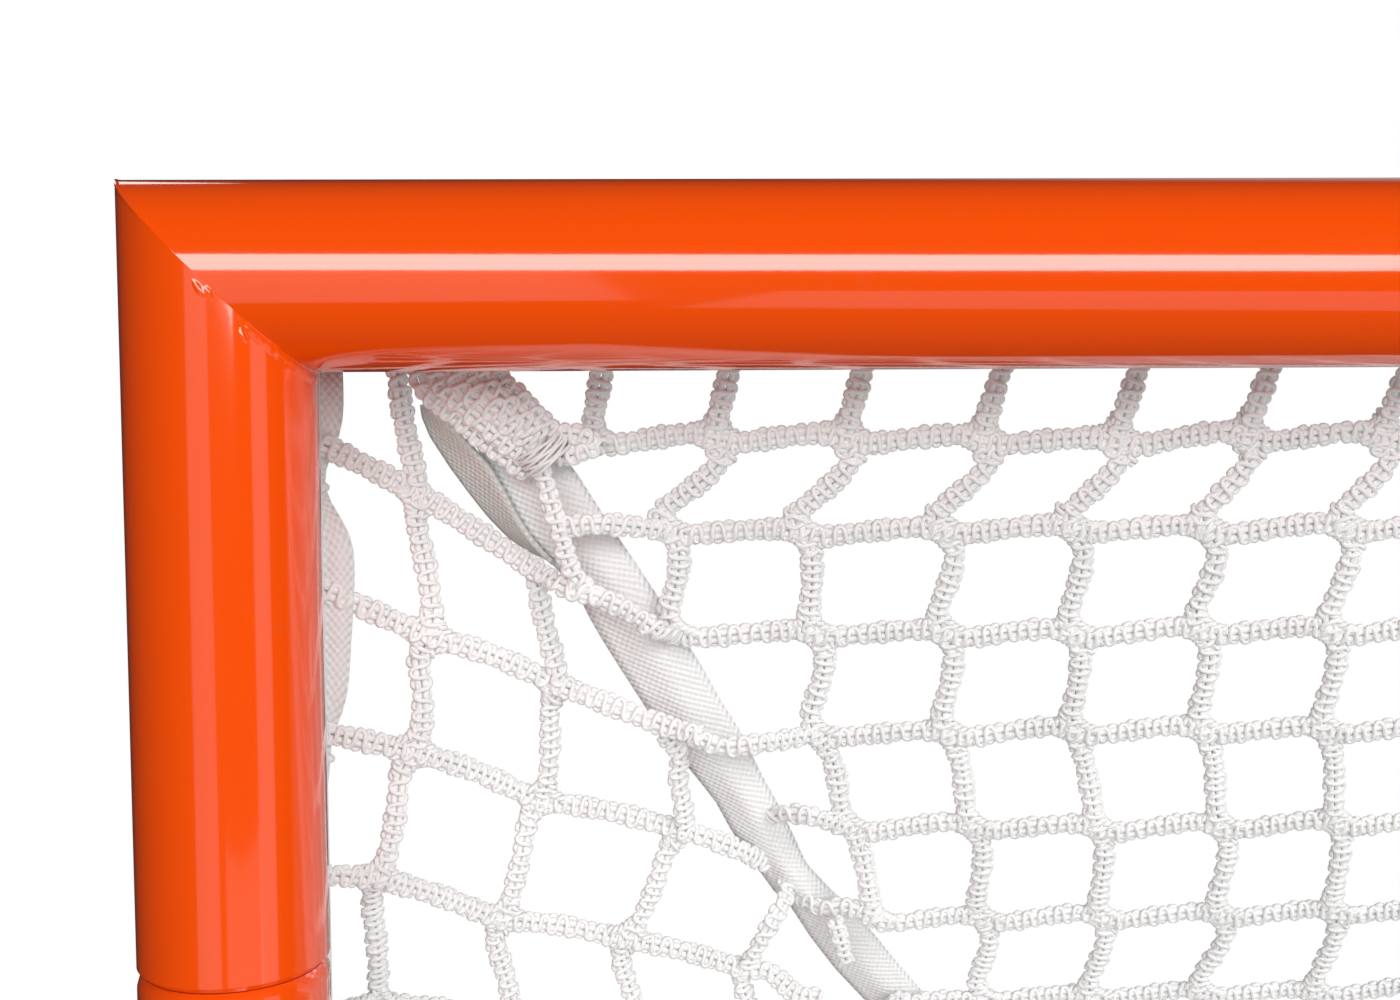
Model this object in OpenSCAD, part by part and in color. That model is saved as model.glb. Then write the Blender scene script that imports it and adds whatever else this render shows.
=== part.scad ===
// Knock-down goal: a welded tube mouth frame on a V-shaped ground frame, with a laced cord net.
// The origin is on the ground, midway between the posts and midway from the goal line to the apex.
// +X is to the right of somebody facing the mouth, +Y runs back to the apex and +Z is up.

/* [Mouth] */
// Clear width between the posts
mouth_w = 1829; // [1200:1:2400]
// Clear height under the crossbar
mouth_h = 1829; // [1200:1:2200]
// Goal line to the apex of the ground frame
depth = 2134; // [1200:1:2600]

/* [Tube] */
// Outside diameter of the mouth tube
tube_d = 48.3; // [42:0.1:60]
// Wall of the mouth tube
tube_wall = 3.7; // [2.5:0.1:5]
// Crossbar axis down to the slip joint in each post
leg_drop = 177; // [150:1:260]
// Bevel at the lower end of each corner leg
leg_bevel = 1.5; // [0.5:0.1:2.5]
// Radius that rounds the upper end of each lower post
shoulder_r = 6; // [4:0.5:8]
// Height of that rounded stretch
shoulder_h = 4; // [2:0.5:4]

/* [Slip joint] */
// Length of spigot inside the corner leg
spigot_up = 110; // [60:1:115]
// Length of spigot inside the lower post
spigot_down = 80; // [50:1:140]
// Wall of the spigot
spigot_wall = 3.2; // [2:0.1:5]
// Radial play of the spigot in the corner leg
spigot_play = 0.3; // [0.2:0.05:0.5]
// Lock screw height above the slip joint
lock_z = 20; // [16:1:24]
// Thread diameter of the lock screw
lock_d = 8; // [6:1:10]
// Angle of the lock screw, from straight back towards the outer side
lock_angle = 35; // [30:1:45]

/* [Ground frame] */
// Width of the flat ground bar
bar_w = 60; // [56:1:80]
// Thickness of the flat ground bar
bar_t = 10; // [8:1:14]
// Leg of the foot weld
foot_weld = 4; // [2:0.5:6]
// Length of the apex plate along the goal
plate_l = 190; // [170:1:230]
// Width of the apex plate at its rear end
plate_w = 90; // [80:1:110]
// Thickness of the apex plate
plate_t = 8; // [5:1:12]
// Thread diameter of the apex bolts
bolt_d = 10; // [8:1:12]

/* [Lacing rods] */
// Rod diameter
rod_d = 8; // [6:0.5:10]
// Clear gap between the rod and what carries it
rod_gap = 7; // [6:0.5:10]
// Rod offset past the tube's axis, away from the mouth opening
rod_shift = 8; // [6:0.5:10]
// Diameter of the pins that carry the rods
pin_d = 6; // [4:0.5:7]
// Rod end to the first pin
pin_end = 8; // [6:1:12]

/* [Net] */
// Pitch of one mesh, knot to knot
mesh = 38.1; // [30:0.1:50]
// Diameter of the net cord
cord_d = 7; // [4:0.5:8]
// Strands left out between two that are drawn, plus one
strand_step = 3; // [3:1:5]
// Where the seam starts, inboard of the post axis
seam_in = 48; // [46:1:60]

/* [Webbing and ties] */
// Width of the webbing
tape_w = 25; // [20:1:30]
// Thickness of the webbing
tape_t = 1.6; // [1:0.1:2.4]
// Diameter of the tie cord
tie_d = 2.5; // [2:0.1:3]
// Meshes from one tie to the next
tie_step = 2; // [2:1:4]

/* [Hidden] */
LEFT = -1;
RIGHT = 1;
$fn = 64;
paint = "orangered";
cord_white = "whitesmoke";
tape_white = "gainsboro";
steel = "silver";

weld_gap = 0.05;      // between pieces that are welded or clamped together
seat = 0.3;           // between pieces that touch but move or are soft
overcut = 1;          // how far a cutter runs past what it cuts
weld_rise = 0.8;      // height of the corner weld over the tube
weld_w = 4;           // width of the corner weld

tube_r = tube_d / 2;
bore_r = tube_r - tube_wall;
post_x = mouth_w / 2 + tube_r;
bar_z = mouth_h + tube_r;
front_y = -depth / 2;
joint_z = bar_z - leg_drop;
spigot_r = bore_r - spigot_play;

rod_r = rod_d / 2;
rod_y = tube_r + rod_gap + rod_r;      // rod axis behind the tube's axis
tape_off = rod_r + 0.5;                // near edge of the webbing, from the rod's axis
tie_bend = rod_r + seat + tie_d / 2;   // centreline radius of a tie's bends
tie_len = tape_off + tape_w + seat + tie_d / 2 - tie_bend; // between the centres of a tie's bends
net_off = tape_off + tape_w + seat + tie_d + seat;         // near edge of the net, from the rod's axis

// Heights and offsets of the webbing, counted from the axes of the tubes
hem_low = rod_shift - tape_off - tape_w;
net_in = net_off - rod_shift;

// The ground rod runs along the flat bar, a little inboard of its middle
lean = atan2(post_x, depth);
ground_len = sqrt(post_x * post_x + depth * depth);
ground_rod_z = bar_t + rod_gap + rod_r;
plate_back = depth / 2 + bar_w / 2 - 6;
plate_front = plate_back - plate_l;
ground_rod_in = 9;
ground_start = 62;
ground_stop = (plate_front - front_y) / cos(lean) - pin_d;  // the rod ends ahead of the apex plate
ground_tape_end = 96;
foot_z = ground_rod_z + net_off;

// ---- the seam from a top corner to the apex, from the crossing of the tube axes: inboard, back, up
cord_r = cord_d / 2;
edge_in = net_in + cord_r;             // middle of the net's border cord, from the tube's axis
seam_gap = tape_w / 2 + 2 * seat + cord_r; // middle of the border cord, from the middle of the seam
foot = [edge_in, rod_y, foot_z + cord_r - bar_z];
seam_apex_in = 18;                     // seam's end to the middle of the goal
seam_apex_back = 66;                   // seam's end ahead of the apex
seam_b0 = [seam_in, rod_y, -net_in];
seam_b3 = [post_x - seam_apex_in, depth - seam_apex_back, foot[2]];
seam_b1 = seam_b0 + [486, 176, -653];
seam_b2 = seam_b3 - [305, 824, -573];
function bezier(t) = pow(1 - t, 3) * seam_b0 + 3 * t * pow(1 - t, 2) * seam_b1
    + 3 * t * t * (1 - t) * seam_b2 + pow(t, 3) * seam_b3;
function unit(v) = v / norm(v);
function to_frame(p) = [post_x - p[0], front_y + p[1], bar_z + p[2]];

curve_n = 16;
curve = [for (i = [0 : curve_n]) bezier(i / curve_n)];
function curve_len(i) = i == 0 ? 0 : curve_len(i - 1) + norm(curve[i] - curve[i - 1]);
t_at_len = [for (i = [0 : curve_n]) [curve_len(i), i / curve_n]];
// Point at a share of the seam's length, from the top corner
function seam_point(share) = bezier(lookup(share * curve_len(curve_n), t_at_len));

// The two panels and the webbing between them bend at the same points of the seam
strand = mesh * strand_step;
seam_n = round(-(foot[2] + edge_in) / strand);
seam = [for (i = [0 : seam_n]) seam_point(i / seam_n)];
function seam_dir(i) = unit(seam[min(i + 1, seam_n)] - seam[max(i - 1, 0)]);
// How far to go along v from the seam, to get 1 mm away from it
function per_mm(i, v) = 1 / norm(cross(v, seam_dir(i)));

// Length along the seam's side profile at each of its points
function profile_len(i) = i == 0 ? 0
    : profile_len(i - 1) + norm([seam[i][1] - seam[i - 1][1], seam[i][2] - seam[i - 1][2]]);
z_at_len = [for (i = [0 : seam_n]) [profile_len(i), seam[i][2]]];
// Half width of the top panel at a height, with the heights running up
half_at_z = [for (i = [seam_n : -1 : 0])
    [seam[i][2], post_x - seam[i][0] - (seam_gap - cord_r) * per_mm(i, [1, 0, 0])]];

top_end = 14;         // half width at which the top panel ends, short of the apex

// ---- shared shapes
module mirror_to(side) { if (side == LEFT) mirror([1, 0, 0]) children(); else children(); }
module along_x(len, r) { rotate([0, 90, 0]) cylinder(h = len, r = r, center = true); }
// A children shape built about the right post's axis crossing goes to either corner
module at_corner(side) { mirror_to(side) translate([post_x, front_y, bar_z]) children(); }
// Frame of the right ground bar: +X runs along the bar from the post to the apex, +Y inboard
module at_ground(side) { mirror_to(side) translate([post_x, front_y, 0]) rotate([0, 0, 90 + lean]) children(); }

// Everything on one side of the mitre plane of the right corner, about the corner's crossing
module mitre_half(bar_side) {
    big = 4 * tube_r;
    rotate([0, 45, 0]) translate([bar_side ? -big / 2 + weld_gap : big / 2 - weld_gap, 0, 0])
        cube([big, big, 3 * big], center = true);
}

// ---- top frame
module crossbar() {
    color(paint) difference() {
        translate([0, front_y, bar_z]) along_x(2 * (post_x + tube_r), tube_r);
        translate([0, front_y, bar_z]) along_x(2 * (post_x + tube_r) + 2 * overcut, bore_r);
        for (side = [LEFT, RIGHT]) at_corner(side) mitre_half(false);
    }
}

module corner_leg(side) {
    low = -leg_drop + seat;
    color(paint) at_corner(side) difference() {
        rotate_extrude() polygon([[bore_r, low], [tube_r - leg_bevel, low], [tube_r, low + leg_bevel],
            [tube_r, tube_r + overcut], [bore_r, tube_r + overcut]]);
        mitre_half(true);
    }
}

// Raised bead over the mitre, half of it on each tube
module corner_weld(side) {
    color(paint) at_corner(side) for (on_bar = [true, false]) difference() {
        intersection() {
            rotate([0, 45, 0]) translate([(on_bar ? -1 : 1) * weld_w / 4, 0, 0])
                cube([weld_w / 2, 4 * tube_r, 4 * tube_r], center = true);
            weld_core(on_bar, tube_r + weld_rise);
        }
        weld_core(on_bar, tube_r + weld_gap);
    }
}
module weld_core(on_bar, r) {
    if (on_bar) along_x(6 * tube_r, r);
    else cylinder(h = 6 * tube_r, r = r, center = true);
}

// Screw axis: along +X from the tube's axis, out and back
module at_lock(side) { at_corner(side) translate([0, 0, lock_z - leg_drop]) rotate([0, 0, 90 - lock_angle]) children(); }
nut_t = 6.5;
nut_r = 1.04 * lock_d;
head_t = 5.5;
module lock_nut(side) {
    color(paint) at_lock(side) difference() {
        rotate([0, 90, 0]) cylinder(h = tube_r + nut_t, r = nut_r, $fn = 6);
        translate([0, 0, -nut_r]) cylinder(h = 2 * nut_r, r = tube_r + weld_gap);
        rotate([0, 90, 0]) cylinder(h = tube_r + nut_t + overcut, r = lock_d / 2 + weld_gap);
    }
}
module lock_screw(side) {
    color(steel) at_lock(side) rotate([0, 90, 0]) {
        translate([0, 0, tube_r + weld_gap]) cylinder(h = nut_t + 2, r = lock_d / 2);
        translate([0, 0, tube_r + nut_t + 1]) cylinder(h = head_t, r = nut_r, $fn = 6);
    }
}

// ---- lacing rods, each a straight rod on short welded pins
// Pins stand midway between two ties, apart from the first and last on a rod
tie_pitch = mesh * tie_step;
tie_end = 20;                          // rod end to the first tie
function between_ties(at, a_tie) = a_tie + (floor((at - a_tie) / tie_pitch) + 0.5) * tie_pitch;
bar_tie_n = floor((post_x - 56) / tie_pitch - 0.5);
bar_rod_half = (bar_tie_n + 0.5) * tie_pitch + pin_end;
leg_rod_top = -34;
leg_rod_low = -leg_drop + 28;
post_rod_top = -leg_drop - 22;
post_rod_low = foot_z + 6 - bar_z;

module crossbar_rod() { color(paint) translate([0, front_y + rod_y, bar_z + rod_shift]) along_x(2 * bar_rod_half, rod_r); }
module crossbar_rod_pins() {
    pins = 6;
    last = bar_tie_n * tie_pitch;
    color(paint) for (i = [0 : pins - 1])
        translate([between_ties((last + 1) * (2 * i / (pins - 1) - 1), 0), front_y, bar_z]) difference() {
        translate([0, 0, rod_shift]) rotate([-90, 0, 0]) cylinder(h = rod_y, r = pin_d / 2);
        along_x(2 * pin_d, tube_r + weld_gap);
        translate([0, rod_y, rod_shift]) along_x(2 * pin_d, rod_r + weld_gap);
    }
}
module upright_rod(side, top, low) {
    color(paint) at_corner(side) translate([rod_shift, rod_y, low]) cylinder(h = top - low, r = rod_r);
}
module upright_pins(side, top, low, pins) {
    first = top - pin_end;
    last = low + pin_end;
    heights = [for (i = [0 : pins - 1]) let(z = first + (last - first) * i / (pins - 1))
        i == 0 || i == pins - 1 ? z : between_ties(z, top - tie_end)];
    color(paint) at_corner(side) for (z = heights) translate([0, 0, z]) difference() {
            translate([rod_shift, 0, 0]) rotate([-90, 0, 0]) cylinder(h = rod_y, r = pin_d / 2);
            cylinder(h = 2 * pin_d, r = tube_r + weld_gap, center = true);
            translate([rod_shift, rod_y, 0]) cylinder(h = 2 * pin_d, r = rod_r + weld_gap, center = true);
        }
}
module ground_rod(side) {
    color(paint) at_ground(side) translate([ground_start, ground_rod_in, ground_rod_z])
        rotate([0, 90, 0]) cylinder(h = ground_stop - ground_start, r = rod_r);
}
module ground_pins(side) {
    pins = 6;
    first = ground_start + pin_end;
    last = ground_stop - 2 * pin_end;
    places = [for (i = [0 : pins - 1]) let(x = first + (last - first) * i / (pins - 1))
        i == 0 ? x : between_ties(x, ground_start + tie_end)];
    color(paint) at_ground(side) for (x = places) translate([x, ground_rod_in, 0]) difference() {
            translate([0, 0, bar_t + weld_gap]) cylinder(h = rod_gap + rod_r, r = pin_d / 2);
            translate([0, 0, ground_rod_z]) along_x(2 * pin_d, rod_r + weld_gap);
        }
}

// ---- posts and slip joints
module post(side) {
    top = joint_z;
    drop = function (s) shoulder_r - sqrt(shoulder_r * shoulder_r - s * s);
    steps = 6;
    color(paint) translate([side * post_x, front_y, 0]) rotate_extrude() polygon(concat(
        [[bore_r, bar_t + weld_gap], [tube_r, bar_t + weld_gap]],
        [for (i = [0 : steps]) [tube_r - drop(shoulder_h * i / steps), top - shoulder_h * (1 - i / steps)]],
        [[bore_r, top]]));
}
module spigot(side) {
    color(steel) translate([side * post_x, front_y, joint_z - spigot_down]) difference() {
        cylinder(h = spigot_down + spigot_up, r = spigot_r);
        translate([0, 0, -overcut]) cylinder(h = spigot_down + spigot_up + 2 * overcut, r = spigot_r - spigot_wall);
    }
}
// Packs the play between spigot and post, just under the mouth of the post
module spigot_weld(side) {
    bead_h = 5;
    color(steel) translate([side * post_x, front_y, joint_z - bead_h - 1]) difference() {
        cylinder(h = bead_h, r = bore_r - weld_gap);
        translate([0, 0, -overcut]) cylinder(h = bead_h + 2 * overcut, r = spigot_r + weld_gap);
    }
}

// ---- ground frame
module ground_bar(side) {
    tip = bar_w / 2;
    color(paint) mirror_to(side) difference() {
        linear_extrude(bar_t) union() {
            translate([post_x, front_y]) circle(r = bar_w / 2);
            translate([post_x, front_y]) rotate(90 + lean) translate([0, -bar_w / 2])
                square([ground_len + 3 * bar_w, bar_w]);
        }
        translate([-depth + weld_gap, -depth, -overcut]) cube([depth, 3 * depth, bar_t + 2 * overcut]);
        translate([-depth, depth / 2 + tip, -overcut]) cube([2 * depth, depth, bar_t + 2 * overcut]);
        for (p = bolt_spots) translate([p[0], p[1], -overcut])
            cylinder(h = bar_t + 2 * overcut, r = bolt_d / 2 + weld_gap);
    }
}
module foot_weld(side) {
    color(paint) translate([side * post_x, front_y, bar_t + weld_gap]) rotate_extrude()
        polygon([[tube_r + weld_gap, 0], [min(tube_r + foot_weld, bar_w / 2 + foot_weld / 2), 0],
            [tube_r + weld_gap, foot_weld]]);
}

// The apex plate widens forwards with the V of the bars; two bolts hold it to each bar
function bar_mid_x(y) = (depth / 2 - y) * tan(lean);
bolt_rows = [plate_back - plate_l * 0.36, plate_front + plate_l * 0.14];
bolt_spots = [for (y = bolt_rows) [bar_mid_x(y) + 4, y]];
plate_corner = 14;    // corners cut off the rear of the apex plate
plate_lip = 22;       // width of each leg of the plate at its front
plate_notch = 96;     // depth of the notch between the legs
module apex_plate() {
    half_front = plate_w / 2 + plate_l * tan(lean) - plate_corner;
    color(paint) difference() {
        translate([0, 0, bar_t + weld_gap]) linear_extrude(plate_t) polygon([
            [-plate_w / 2 + plate_corner / 2, plate_back], [plate_w / 2 - plate_corner / 2, plate_back],
            [plate_w / 2, plate_back - plate_corner], [half_front, plate_front],
            [half_front - plate_lip, plate_front], [0, plate_front + plate_notch],
            [-half_front + plate_lip, plate_front], [-half_front, plate_front],
            [-plate_w / 2, plate_back - plate_corner]]);
        for (side = [LEFT, RIGHT]) mirror_to(side) for (p = bolt_spots)
            translate([p[0], p[1], 0]) cylinder(h = bar_t + plate_t + overcut, r = bolt_d / 2 + weld_gap);
    }
}
washer_t = 2;
module apex_bolts() {
    head_h = 0.64 * bolt_d;
    under = bar_t + plate_t + washer_t + 3 * weld_gap;
    color(steel) for (side = [LEFT, RIGHT]) mirror_to(side) for (p = bolt_spots) translate([p[0], p[1], 0]) {
        translate([0, 0, 1]) cylinder(h = under, r = bolt_d / 2);
        translate([0, 0, under]) cylinder(h = head_h, r = 0.92 * bolt_d, $fn = 6);
    }
}
module apex_washers() {
    color(steel) for (side = [LEFT, RIGHT]) mirror_to(side) for (p = bolt_spots)
        translate([p[0], p[1], bar_t + plate_t + 2 * weld_gap]) difference() {
            cylinder(h = washer_t, r = bolt_d);
            translate([0, 0, -overcut]) cylinder(h = washer_t + 2 * overcut, r = bolt_d / 2 + weld_gap);
        }
}

// ---- webbing along the tubes and the ground rods
module crossbar_webbing() {
    half = post_x - 30;
    color(tape_white) translate([-half, front_y + rod_y - tape_t / 2, bar_z + hem_low]) cube([2 * half, tape_t, tape_w]);
}
module upright_webbing(side, top, low) {
    color(tape_white) at_corner(side) translate([hem_low, rod_y - tape_t / 2, low]) cube([tape_w, tape_t, top - low]);
}
module ground_webbing(side) {
    start = 34;
    color(tape_white) at_ground(side)
        translate([start, ground_rod_in - tape_t / 2, ground_rod_z + tape_off])
        cube([ground_len - start - ground_tape_end, tape_t, tape_w]);
}
leg_tape_low = -leg_drop + seat;
leg_tape_top = hem_low - 2;
post_tape_top = -leg_drop - seat;
post_tape_low = foot_z + 4 - bar_z;

// ---- ties: each a closed loop of cord round the rod and the webbing, built about the rod's axis,
// with the webbing towards -Z and the rod along X
module tie() {
    translate([0, 0, -tie_len]) for (y = [-tie_bend, tie_bend]) translate([0, y, 0]) cylinder(h = tie_len, r = tie_d / 2, $fn = 16);
    for (low = [false, true]) translate([0, 0, low ? -tie_len : 0]) rotate([low ? 180 : 0, 0, 0]) rotate([90, 0, 90])
        rotate_extrude(angle = 180, $fn = 32) translate([tie_bend, 0]) circle(r = tie_d / 2, $fn = 16);
}
module crossbar_ties() {
    color(cord_white) for (i = [-bar_tie_n : bar_tie_n])
        translate([i * tie_pitch, front_y + rod_y, bar_z + rod_shift]) tie();
}
module upright_tie_at(z) { translate([rod_shift, rod_y, z]) rotate([0, 90, 0]) tie(); }
module upright_ties(side, top, low) {
    color(cord_white) at_corner(side) for (z = [top - tie_end : -tie_pitch : low + 2 * pin_end]) upright_tie_at(z);
}
module ground_ties(side) {
    last = ground_stop - tie_end;
    color(cord_white) at_ground(side) for (x = [ground_start + tie_end : tie_pitch : last])
        translate([x, ground_rod_in, ground_rod_z]) rotate([180, 0, 0]) tie();
}

// ---- seam webbing: a ribbon along the seam, folded on it, with each half in line with its panel
seam_tape_start = 10;
seam_tape_end = 66;
function fold_ring(i) = let(
    ahead = seam_dir(i),
    p = seam[i] + (i == 0 ? seam_tape_start : i == seam_n ? -seam_tape_end : 0) * ahead,
    top = unit([1, 0, 0] - ahead[0] * ahead),
    low = unit(foot - p - ((foot - p) * ahead) * ahead),
    top_thick = unit(cross(ahead, top)) * tape_t / 2,
    low_thick = unit(cross(low, ahead)) * tape_t / 2,
    mid_thick = unit(top_thick + low_thick) * tape_t / 2
) [p + low * tape_w / 2 - low_thick, p - mid_thick, p + top * tape_w / 2 - top_thick,
    p + top * tape_w / 2 + top_thick, p + mid_thick, p + low * tape_w / 2 + low_thick];
module seam_webbing(side) {
    rings = [for (i = [0 : seam_n]) fold_ring(i)];
    sides = 6;
    points = [for (ring = rings) for (p = ring) to_frame(p)];
    walls = [for (i = [0 : seam_n - 1]) for (k = [0 : sides - 1])
        let(a = sides * i + k, b = sides * i + (k + 1) % sides)
        each [[a, b, b + sides], [a, b + sides, a + sides]]];
    last = sides * seam_n;
    cap = [[0, 5, 4], [0, 4, 1], [1, 4, 3], [1, 3, 2]];
    ends = [for (f = cap) each [f, [last + f[2], last + f[1], last + f[0]]]];
    color(tape_white) mirror_to(side) polyhedron(points, concat(walls, ends));
}

// ---- net panels: curved sheets one cord thick, pierced between every few strands
module net_top() {
    cut = [for (i = [0 : seam_n]) if (half_at_z[seam_n - i][1] > top_end) i];
    side_of = function (i) let(a = seam[max(i - 1, 0)], b = seam[min(i + 1, seam_n)])
        unit([b[2] - a[2], a[1] - b[1]]) * cord_d / 2;
    skin = concat([for (i = cut) [seam[i][1], seam[i][2]] + side_of(i)],
        [for (k = [len(cut) - 1 : -1 : 0]) [seam[cut[k]][1], seam[cut[k]][2]] - side_of(cut[k])]);
    color(cord_white) translate([0, front_y, bar_z]) difference() {
        intersection() {
            rotate([90, 0, 90]) linear_extrude(2 * post_x, center = true) polygon(skin);
            net_top_outline(0);
        }
        intersection() {
            net_top_holes();
            net_top_outline(cord_d);
        }
    }
}
module net_top_outline(inset) {
    ends = [for (p = half_at_z) if (p[1] > top_end) [p[1] - inset * 1.2, p[0]]];
    low = [for (i = [0 : len(ends) - 1]) [ends[i][0], ends[i][1] + (i == 0 ? 2 * inset : i == len(ends) - 1 ? -inset : 0)]];
    translate([0, depth, 0]) rotate([90, 0, 0]) linear_extrude(2 * depth)
        polygon(concat(low, [for (i = [len(low) - 1 : -1 : 0]) [-low[i][0], low[i][1]]]));
}
module net_top_holes() {
    rows = floor(z_at_len[seam_n][0] / strand);
    for (i = [0 : rows]) {
        high = lookup(i * strand + cord_d / 2, z_at_len);
        low = lookup((i + 1) * strand - cord_d / 2, z_at_len);
        reach = lookup(high, half_at_z);
        for (j = [0 : floor(reach / strand)]) if (j * strand + 3 * cord_d < reach && high - low > 3 * cord_d)
            for (side = [-1, 1]) translate([side * (j + 0.5) * strand, depth / 2 + rod_y, (high + low) / 2])
                cube([strand - cord_d, depth + 2 * cord_d, high - low], center = true);
    }
}

// The side panel is a cone from the foot over the seam. Knot [i, j] is i strands back along the
// ground and j up the post, and the knots whose i and j add up to seam_n lie along the seam.
corner = [edge_in, rod_y, -net_in - seam_gap];
side_out = unit([foot[1] - seam_b3[1], seam_b3[0] - foot[0], 0]);
function seam_side(up) = up == 1 ? corner : let(p = seam_point(1 - up), v = unit(foot - p))
    p + v * seam_gap * per_mm(round((1 - up) * seam_n), v);
function knot(k) = k[0] + k[1] == 0 ? foot
    : foot + (k[0] + k[1]) / seam_n * (seam_side(k[1] / (k[0] + k[1])) - foot);
function knot_id(k) = k[1] * (seam_n + 1) - k[1] * (k[1] - 1) / 2 + k[0];

// Corner of a mesh, half a cord in from the middles of the two strands that meet in it
function mesh_corner(at, prev, next) = let(a = unit(knot(prev) - knot(at)), b = unit(knot(next) - knot(at)))
    knot(at) + cord_r * (a + b) / norm(cross(a, b));
// Outer side of the border cord at a knot
function border_out(at, prev, next) = let(along = knot(next) - knot(prev))
    knot(at) + cord_r * unit(cross(side_out, along));

// Each cord has four flats: ridges through the knots on both faces, and the edges of the meshes
module net_side(side) {
    n = seam_n;
    knots = [for (j = [0 : n]) for (i = [0 : n - j]) [i, j]];
    cells = [for (j = [0 : n - 1]) for (i = [0 : n - 1 - j])
        i + j == n - 1 ? [[i, j], [i + 1, j], [i, j + 1]] : [[i, j], [i + 1, j], [i + 1, j + 1], [i, j + 1]]];
    border = concat([for (i = [0 : n - 1]) [i, 0]], [for (j = [0 : n - 1]) [n - j, j]], [for (j = [n : -1 : 1]) [0, j]]);
    back = len(knots);
    first_cell = 2 * back;
    first_border = first_cell + 4 * len(cells);
    points = concat([for (k = knots) knot(k) + side_out * cord_r], [for (k = knots) knot(k) - side_out * cord_r],
        [for (c = cells) for (m = [0 : 3]) let(l = len(c), k = m % l) mesh_corner(c[k], c[(k + l - 1) % l], c[(k + 1) % l])],
        [for (m = [0 : len(border) - 1]) let(l = len(border))
            border_out(border[m], border[(m + l - 1) % l], border[(m + 1) % l])]);
    cell_faces = [for (c = [0 : len(cells) - 1]) for (m = [0 : len(cells[c]) - 1])
        let(l = (m + 1) % len(cells[c]), a = knot_id(cells[c][m]), b = knot_id(cells[c][l]),
            p = first_cell + 4 * c + m, q = first_cell + 4 * c + l)
        each [[a, p, q], [a, q, b], [back + a, q, p], [back + a, back + b, q]]];
    border_faces = [for (m = [0 : len(border) - 1])
        let(l = (m + 1) % len(border), a = knot_id(border[m]), b = knot_id(border[l]),
            p = first_border + m, q = first_border + l)
        each [[a, b, q], [a, q, p], [back + a, q, back + b], [back + a, p, q]]];
    color(cord_white) mirror_to(side) polyhedron([for (p = points) to_frame(p)], concat(cell_faces, border_faces));
}

crossbar();
corner_leg(LEFT);  // left_corner_leg
corner_leg(RIGHT);  // right_corner_leg
corner_weld(LEFT);  // left_corner_weld
corner_weld(RIGHT);  // right_corner_weld
lock_nut(LEFT);  // left_lock_nut
lock_nut(RIGHT);  // right_lock_nut
lock_screw(LEFT);  // left_lock_screw
lock_screw(RIGHT);  // right_lock_screw
crossbar_rod();
crossbar_rod_pins();
upright_rod(LEFT, leg_rod_top, leg_rod_low);  // left_leg_rod
upright_rod(RIGHT, leg_rod_top, leg_rod_low);  // right_leg_rod
for (side = [LEFT, RIGHT]) upright_pins(side, leg_rod_top, leg_rod_low, 2);  // leg_rod_pins
crossbar_webbing();
upright_webbing(LEFT, leg_tape_top, leg_tape_low);  // left_leg_webbing
upright_webbing(RIGHT, leg_tape_top, leg_tape_low);  // right_leg_webbing
crossbar_ties();
for (side = [LEFT, RIGHT]) upright_ties(side, leg_rod_top, leg_rod_low);  // leg_ties
post(LEFT);  // left_post
post(RIGHT);  // right_post
spigot(LEFT);  // left_spigot
spigot(RIGHT);  // right_spigot
spigot_weld(LEFT);  // left_spigot_weld
spigot_weld(RIGHT);  // right_spigot_weld
ground_bar(LEFT);  // left_ground_bar
ground_bar(RIGHT);  // right_ground_bar
foot_weld(LEFT);  // left_foot_weld
foot_weld(RIGHT);  // right_foot_weld
apex_plate();
apex_bolts();
apex_washers();
upright_rod(LEFT, post_rod_top, post_rod_low);  // left_post_rod
upright_rod(RIGHT, post_rod_top, post_rod_low);  // right_post_rod
for (side = [LEFT, RIGHT]) upright_pins(side, post_rod_top, post_rod_low, 4);  // post_rod_pins
ground_rod(LEFT);  // left_ground_rod
ground_rod(RIGHT);  // right_ground_rod
for (side = [LEFT, RIGHT]) ground_pins(side);  // ground_rod_pins
upright_webbing(LEFT, post_tape_top, post_tape_low);  // left_post_webbing
upright_webbing(RIGHT, post_tape_top, post_tape_low);  // right_post_webbing
ground_webbing(LEFT);  // left_ground_webbing
ground_webbing(RIGHT);  // right_ground_webbing
seam_webbing(LEFT);  // left_seam_webbing
seam_webbing(RIGHT);  // right_seam_webbing
upright_ties(LEFT, post_rod_top, post_rod_low);  // left_post_ties
upright_ties(RIGHT, post_rod_top, post_rod_low);  // right_post_ties
ground_ties(LEFT);  // left_ground_ties
ground_ties(RIGHT);  // right_ground_ties
net_top();
net_side(LEFT);  // net_left
net_side(RIGHT);  // net_right
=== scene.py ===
import bpy
import bmesh
import math
import random
import numpy as np
from mathutils import Matrix, Vector, noise


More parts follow.
